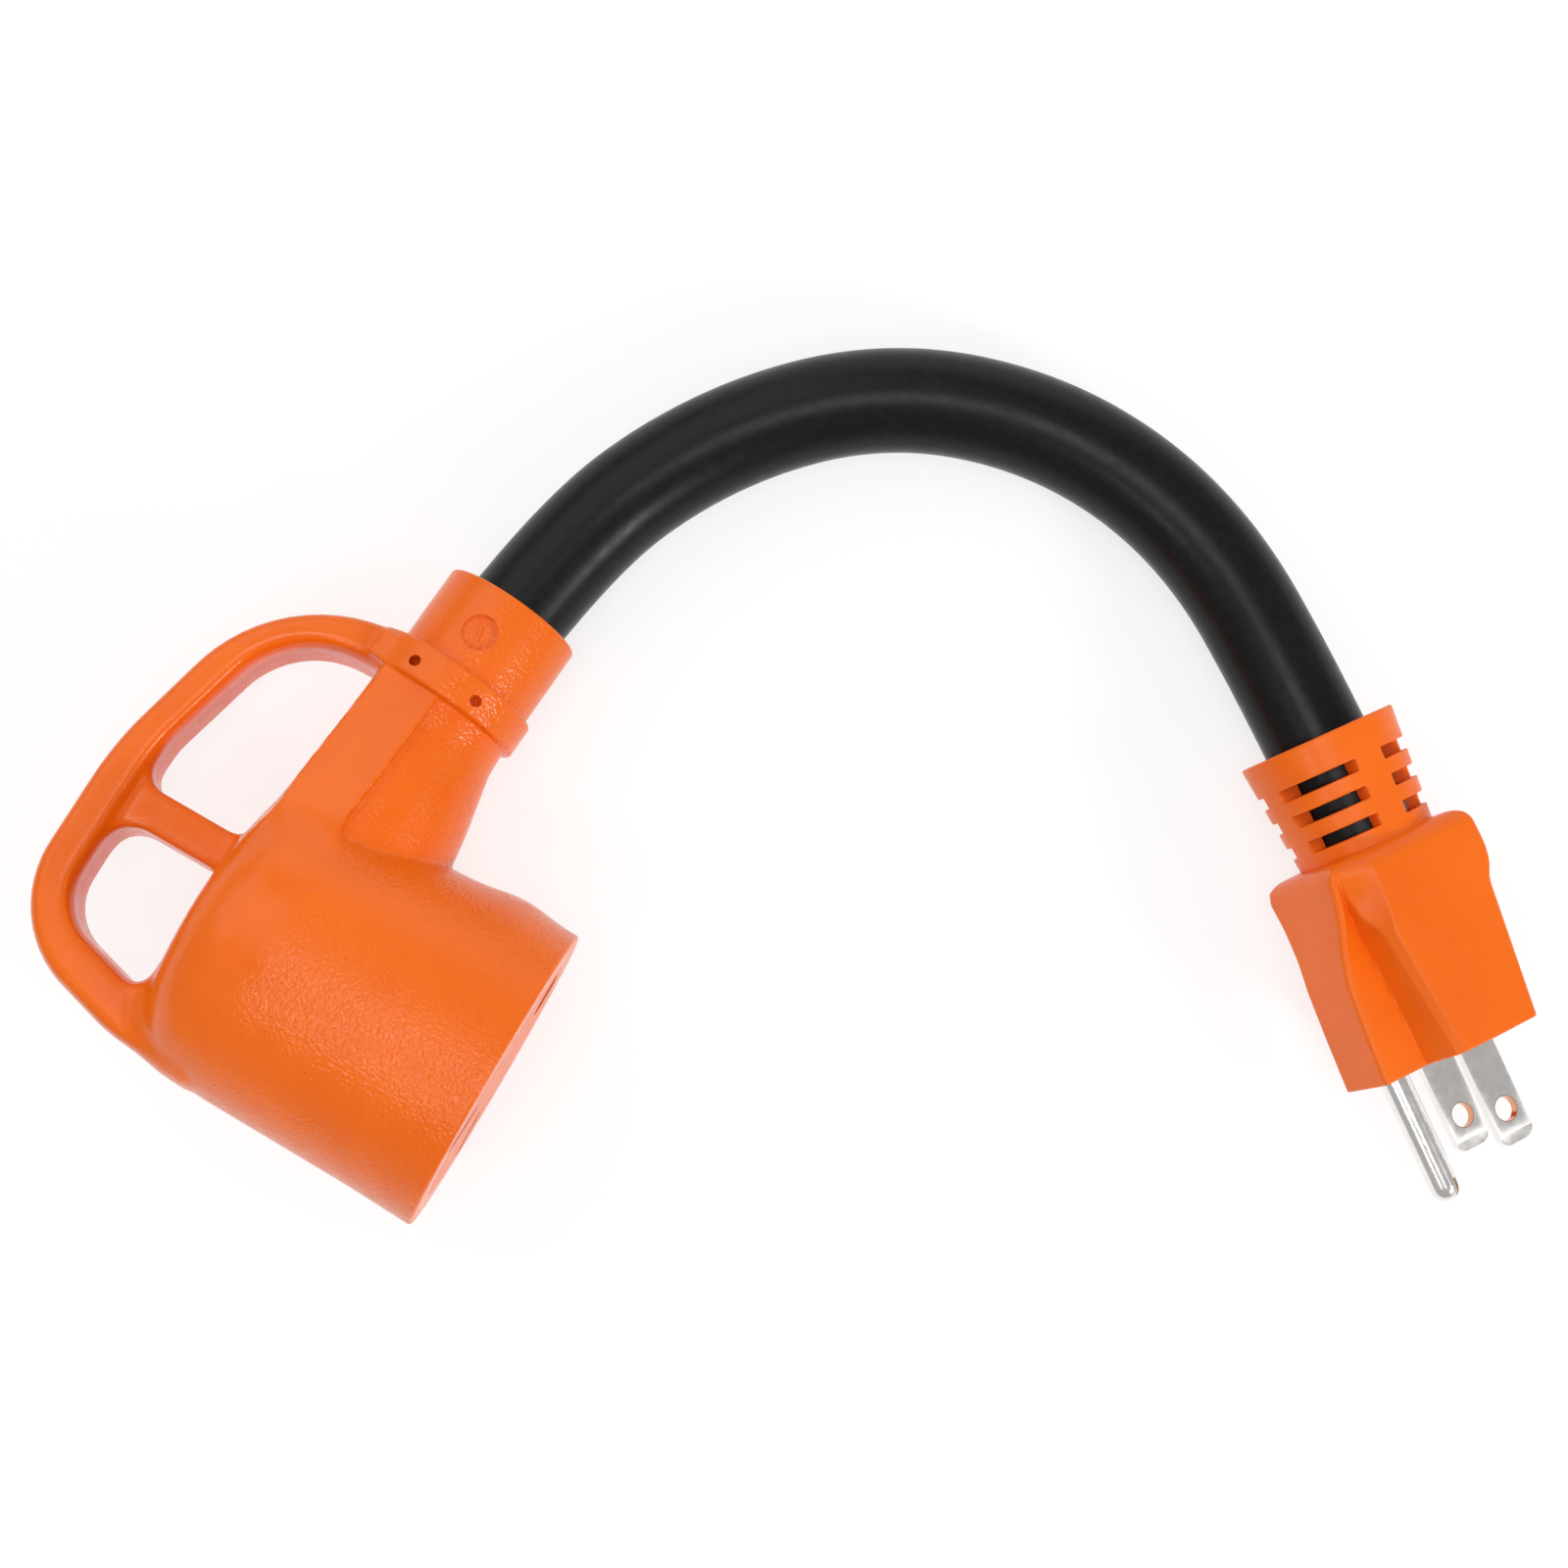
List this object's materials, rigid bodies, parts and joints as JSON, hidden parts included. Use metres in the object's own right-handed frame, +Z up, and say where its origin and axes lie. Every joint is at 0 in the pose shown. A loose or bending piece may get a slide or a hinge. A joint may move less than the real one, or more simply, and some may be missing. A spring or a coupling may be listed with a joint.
{
  "type": "shore power adapter cord",
  "caption": "Short RV shore power adapter: orange right-angle three-slot female connector with a pull handle, thick black cable and a grounded household plug.",
  "frame": {"origin": "middle of the female connector's receptacle face", "axes": "+X out of the receptacle face, +Z up from the surface the cord lies on, cable leaves the connector towards +Y"},
  "size_m": [0.2248, 0.1703, 0.052],
  "materials": {
    "orange_pvc_textured": "satin",
    "orange_pvc_smooth": "satin",
    "nylon_natural": "matte",
    "brass": "satin",
    "spring_steel": "satin",
    "black_jacket": "satin",
    "filler_cord": "matte",
    "insulation_black": "satin",
    "insulation_white": "satin",
    "insulation_green": "satin",
    "copper": "satin",
    "nickel_plate": "satin"
  },
  "bodies": {
    "root": {"connector_overmould": "orange_pvc_textured", "receptacle_insert": "orange_pvc_smooth", "insert_back_cover": "nylon_natural", "line_contact": "brass", "neutral_contact": "brass", "ground_contact": "brass", "line_contact_spring": "spring_steel", "neutral_contact_spring": "spring_steel", "ground_contact_spring": "spring_steel", "cable_jacket": "black_jacket", "cable_fillers": "filler_cord", "line_insulation": "insulation_black", "neutral_insulation": "insulation_white", "ground_insulation": "insulation_green", "line_conductor": "copper", "neutral_conductor": "copper", "ground_conductor": "copper", "plug_overmould": "orange_pvc_smooth", "plug_strain_relief": "orange_pvc_smooth", "plug_bridge": "nylon_natural", "line_blade": "nickel_plate", "neutral_blade": "nickel_plate", "ground_pin": "nickel_plate"}
  },
  "joints": []
}
